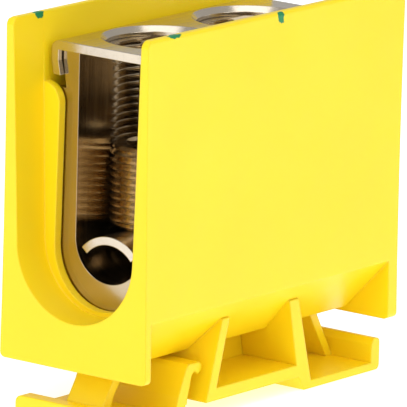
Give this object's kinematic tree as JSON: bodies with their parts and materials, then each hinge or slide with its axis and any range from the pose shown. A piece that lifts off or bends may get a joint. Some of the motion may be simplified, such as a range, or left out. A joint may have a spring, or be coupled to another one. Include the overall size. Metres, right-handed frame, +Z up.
{
  "type": "din rail terminal block",
  "caption": "Feed-through rail terminal: set screws press arched plates onto conductors in a U-shaped clamp body, held in an open yellow housing with a clip-on rail foot.",
  "frame": {"origin": "middle of the 35 mm rail seat, on the seat's underside", "axes": "+X along the block towards the rigid rail hook, +Y across the block along the rail, +Z up away from the rail"},
  "size_m": [0.084, 0.0374, 0.0808],
  "materials": {
    "yellow_plastic": "satin moulded polyamide, bright yellow",
    "plated_brass": "bright nickel plating over brass",
    "plated_steel": "bright nickel plating"
  },
  "bodies": {
    "block": {"housing": "yellow_plastic", "clamp_body": "plated_brass", "cover_plate": "plated_steel"},
    "latch": {"rail_latch": "yellow_plastic"},
    "plate_front": {"pressure_plate_front": "plated_steel"},
    "screw_front": {"clamp_screw_front": "plated_steel", "swivel_pin_front": "plated_steel"},
    "plate_rear": {"pressure_plate_rear": "plated_steel"},
    "screw_rear": {"clamp_screw_rear": "plated_steel", "swivel_pin_rear": "plated_steel"}
  },
  "joints": [
    {"name": "latch_release", "type": "hinge", "parent": "block", "child": "latch", "pos_m": [-0.0274, 0, 0.0093], "axis": [0, 1, 0], "range_deg": [0, 12], "stiffness_Nm_per_rad": 1.5},
    {"name": "plate_travel_front", "type": "slide", "parent": "block", "child": "plate_front", "axis": [0, 0, 1], "range_m": [-0.001, 0.015]},
    {"name": "screw_turn_front", "type": "hinge", "parent": "plate_front", "child": "screw_front", "pos_m": [-0.01135, 0, 0.034], "axis": [0, 0, 1], "range_deg": [-240, 3600]},
    {"name": "plate_travel_rear", "type": "slide", "parent": "block", "child": "plate_rear", "axis": [0, 0, 1], "range_m": [-0.001, 0.015]},
    {"name": "screw_turn_rear", "type": "hinge", "parent": "plate_rear", "child": "screw_rear", "pos_m": [0.01785, 0, 0.034], "axis": [0, 0, 1], "range_deg": [-240, 3600]}
  ],
  "couplings": [
    {"joint": "screw_turn_front", "follows": "plate_travel_front", "rad_per_m": 4188.8},
    {"joint": "screw_turn_rear", "follows": "plate_travel_rear", "rad_per_m": 4188.8}
  ]
}
